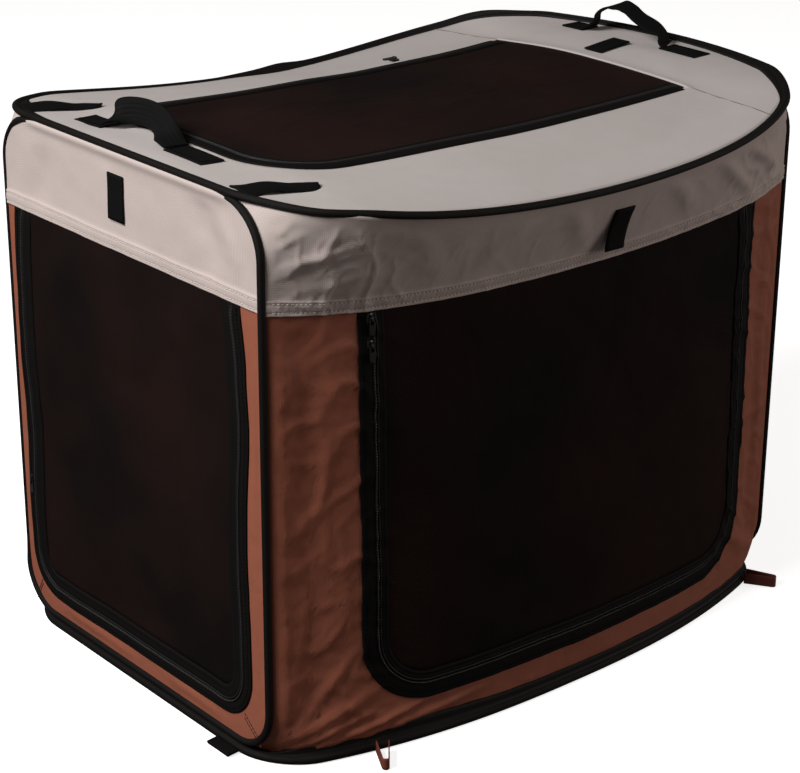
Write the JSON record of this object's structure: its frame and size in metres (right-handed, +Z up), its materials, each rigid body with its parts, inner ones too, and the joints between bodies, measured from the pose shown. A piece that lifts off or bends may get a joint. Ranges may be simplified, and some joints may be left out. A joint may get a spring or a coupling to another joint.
{
  "type": "soft pop-up pet crate",
  "caption": "Folding fabric pet crate on sprung wire hoops, with zipped mesh doors, a roof window, carry handles and stake loops.",
  "frame": {"origin": "middle of the floor panel's underside, on the ground", "axes": "+X along the long sides, from the left end to the right end; -Y out of the front; +Z up"},
  "size_m": [0.7014, 0.541, 0.5746],
  "materials": {
    "beige": "warm grey-beige oxford cloth, matt",
    "terracotta": "brown oxford cloth with a faint sheen",
    "black_cloth": "black oxford cloth and binding",
    "black_mesh": "fine black polyester mesh, see-through",
    "webbing": "black polypropylene webbing",
    "zip": "black zip tape with coil teeth",
    "enamel": "gloss black enamel",
    "steel": "spring steel wire"
  },
  "bodies": {
    "base": {"base_wire_hoop": "steel", "base_rim_binding": "black_cloth", "floor_panel": "black_cloth", "front_wall_panel": "terracotta", "back_wall_panel": "terracotta", "front_band": "beige", "back_band": "beige", "front_zip_tape": "zip", "back_zip_tape": "zip", "front_left_stake_loop": "terracotta", "front_right_stake_loop": "terracotta", "back_left_stake_loop": "terracotta", "back_right_stake_loop": "terracotta", "corner_tab": "webbing"},
    "left_end": {"left_end_wire_hoop": "steel", "left_end_rim_binding": "black_cloth", "left_end_panel": "terracotta", "left_end_band": "beige", "left_end_zip_tape": "zip"},
    "right_end": {"right_end_wire_hoop": "steel", "right_end_rim_binding": "black_cloth", "right_end_panel": "terracotta", "right_end_band": "beige", "right_end_zip_tape": "zip"},
    "top": {"top_wire_hoop": "steel", "top_rim_binding": "black_cloth", "top_panel": "beige", "top_zip_tape": "zip"},
    "top_flap": {"top_flap_mesh": "black_mesh", "top_flap_zip_edge": "zip"},
    "front_door": {"front_door_mesh": "black_mesh", "front_door_zip_edge": "zip"},
    "back_door": {"back_door_mesh": "black_mesh", "back_door_zip_edge": "zip"},
    "left_door": {"left_door_mesh": "black_mesh", "left_door_zip_edge": "zip"},
    "right_door": {"right_door_mesh": "black_mesh", "right_door_zip_edge": "zip"},
    "front_tie": {"front_tie": "webbing"},
    "back_tie": {"back_tie": "webbing"},
    "left_tie": {"left_tie": "webbing"},
    "right_tie": {"right_tie": "webbing"},
    "top_tie": {"top_tie": "webbing"},
    "left_handle": {"left_handle": "webbing"},
    "right_handle": {"right_handle": "webbing"},
    "front_corner_strap": {"front_corner_strap": "webbing"},
    "back_corner_strap": {"back_corner_strap": "webbing"},
    "front_upper_slider": {"front_upper_slider": "enamel"},
    "front_upper_pull": {"front_upper_pull": "enamel"},
    "front_lower_slider": {"front_lower_slider": "enamel"},
    "front_lower_pull": {"front_lower_pull": "enamel"},
    "back_slider": {"back_slider": "enamel"},
    "back_pull": {"back_pull": "enamel"},
    "left_slider": {"left_slider": "enamel"},
    "left_pull": {"left_pull": "enamel"},
    "right_slider": {"right_slider": "enamel"},
    "right_pull": {"right_pull": "enamel"},
    "top_slider": {"top_slider": "enamel"},
    "top_pull": {"top_pull": "enamel"}
  },
  "joints": [
    {"name": "left_end_fold", "type": "hinge", "parent": "base", "child": "left_end", "pos_m": [-0.32, 0, 0.0135], "axis": [0, -1, 0], "range_deg": [0, 80], "stiffness_Nm_per_rad": 10, "deforming": ["front_wall_panel", "back_wall_panel", "front_band", "back_band", "front_zip_tape", "back_zip_tape", "front_door_mesh", "front_door_zip_edge", "back_door_mesh", "back_door_zip_edge", "front_tie", "back_tie", "front_upper_slider", "front_upper_pull", "front_lower_slider", "front_lower_pull", "back_slider", "back_pull"]},
    {"name": "top_fold", "type": "hinge", "parent": "left_end", "child": "top", "pos_m": [-0.32, 0, 0.519], "axis": [0, -1, 0], "range_deg": [-80, 0]},
    {"name": "right_end_fold", "type": "hinge", "parent": "base", "child": "right_end", "pos_m": [0.32, 0, 0.0135], "axis": [0, -1, 0], "range_deg": [0, 80]},
    {"name": "top_flap_swing", "type": "hinge", "parent": "top", "child": "top_flap", "pos_m": [0.243, 0, 0.52683], "axis": [0, -1, 0], "range_deg": [-105, 0]},
    {"name": "front_door_swing", "type": "hinge", "parent": "base", "child": "front_door", "pos_m": [0, -0.2269, 0.4107], "axis": [1, 0, 0], "range_deg": [-135, 0]},
    {"name": "back_door_swing", "type": "hinge", "parent": "base", "child": "back_door", "pos_m": [0, 0.2269, 0.4107], "axis": [-1, 0, 0], "range_deg": [-135, 0]},
    {"name": "left_door_swing", "type": "hinge", "parent": "left_end", "child": "left_door", "pos_m": [-0.3209, 0, 0.4337], "axis": [0, -1, 0], "range_deg": [-135, 0]},
    {"name": "right_door_swing", "type": "hinge", "parent": "right_end", "child": "right_door", "pos_m": [0.3209, 0, 0.4337], "axis": [0, 1, 0], "range_deg": [-135, 0]},
    {"name": "front_tie_swing", "type": "hinge", "parent": "base", "child": "front_tie", "pos_m": [0.043, -0.25448, 0.46268], "axis": [1, 0, 0], "range_deg": [-150, 0]},
    {"name": "back_tie_swing", "type": "hinge", "parent": "base", "child": "back_tie", "pos_m": [0.043, 0.25448, 0.46268], "axis": [-1, 0, 0], "range_deg": [-150, 0]},
    {"name": "left_tie_swing", "type": "hinge", "parent": "left_end", "child": "left_tie", "pos_m": [-0.3218, 0.009, 0.5015], "axis": [0, -1, 0], "range_deg": [-130, 0]},
    {"name": "right_tie_swing", "type": "hinge", "parent": "right_end", "child": "right_tie", "pos_m": [0.3218, 0.009, 0.5015], "axis": [0, 1, 0], "range_deg": [-85, 0]},
    {"name": "top_tie_swing", "type": "hinge", "parent": "top", "child": "top_tie", "pos_m": [0.25943, 0.011, 0.52914], "axis": [0, 1, 0], "range_deg": [-60, 0]},
    {"name": "left_handle_swing", "type": "hinge", "parent": "top", "child": "left_handle", "pos_m": [-0.2915, 0.0275, 0.52908], "axis": [0, 1, 0], "range_deg": [-100, 0]},
    {"name": "right_handle_swing", "type": "hinge", "parent": "top", "child": "right_handle", "pos_m": [0.3345, 0.0175, 0.52975], "axis": [0, -1, 0], "range_deg": [-70, 0]},
    {"name": "front_corner_strap_swing", "type": "hinge", "parent": "top", "child": "front_corner_strap", "pos_m": [-0.3065, -0.166, 0.52875], "axis": [0, 1, 0], "range_deg": [-120, 0]},
    {"name": "back_corner_strap_swing", "type": "hinge", "parent": "top", "child": "back_corner_strap", "pos_m": [-0.3065, 0.172, 0.52863], "axis": [0, 1, 0], "range_deg": [-120, 0]},
    {"name": "front_upper_slide", "type": "slide", "parent": "base", "child": "front_upper_slider", "axis": [0, 0.0228, 0.9997], "range_m": [-0.004, 0.0025]},
    {"name": "front_upper_pull_swing", "type": "hinge", "parent": "front_upper_slider", "child": "front_upper_pull", "pos_m": [-0.2249, -0.22556, 0.4121], "axis": [1, 0, 0], "range_deg": [-120, 0]},
    {"name": "front_lower_slide", "type": "slide", "parent": "base", "child": "front_lower_slider", "axis": [0, 0.0228, 0.9997], "range_m": [-0.25, 0]},
    {"name": "front_lower_pull_swing", "type": "hinge", "parent": "front_lower_slider", "child": "front_lower_pull", "pos_m": [-0.2249, -0.2261, 0.3881], "axis": [1, 0, 0], "range_deg": [-120, 0]},
    {"name": "back_slide", "type": "slide", "parent": "base", "child": "back_slider", "axis": [0, -0.0228, 0.9997], "range_m": [-0.26, 0]},
    {"name": "back_pull_swing", "type": "hinge", "parent": "back_slider", "child": "back_pull", "pos_m": [-0.2249, 0.22583, 0.4001], "axis": [-1, 0, 0], "range_deg": [-120, 0]},
    {"name": "left_slide", "type": "slide", "parent": "left_end", "child": "left_slider", "axis": [0, 0, -1], "range_m": [-0.26, 0]},
    {"name": "left_pull_swing", "type": "hinge", "parent": "left_slider", "child": "left_pull", "pos_m": [-0.3243, 0.1804, 0.153], "axis": [0, -1, 0], "range_deg": [-120, 0]},
    {"name": "right_slide", "type": "slide", "parent": "right_end", "child": "right_slider", "axis": [0, 0, -1], "range_m": [-0.26, 0]},
    {"name": "right_pull_swing", "type": "hinge", "parent": "right_slider", "child": "right_pull", "pos_m": [0.3243, 0.1804, 0.153], "axis": [0, 1, 0], "range_deg": [-120, 0]},
    {"name": "top_slide", "type": "slide", "parent": "top", "child": "top_slider", "axis": [1, 0, -0.008], "range_m": [-0.22, 0]},
    {"name": "top_pull_swing", "type": "hinge", "parent": "top_slider", "child": "top_pull", "pos_m": [0.09498, 0.1304, 0.52038], "axis": [0, -1, 0], "range_deg": [-120, 0]}
  ],
  "couplings": [
    {"joint": "top_fold", "follows": "left_end_fold", "ratio": -1},
    {"joint": "right_end_fold", "follows": "left_end_fold", "ratio": 1}
  ]
}
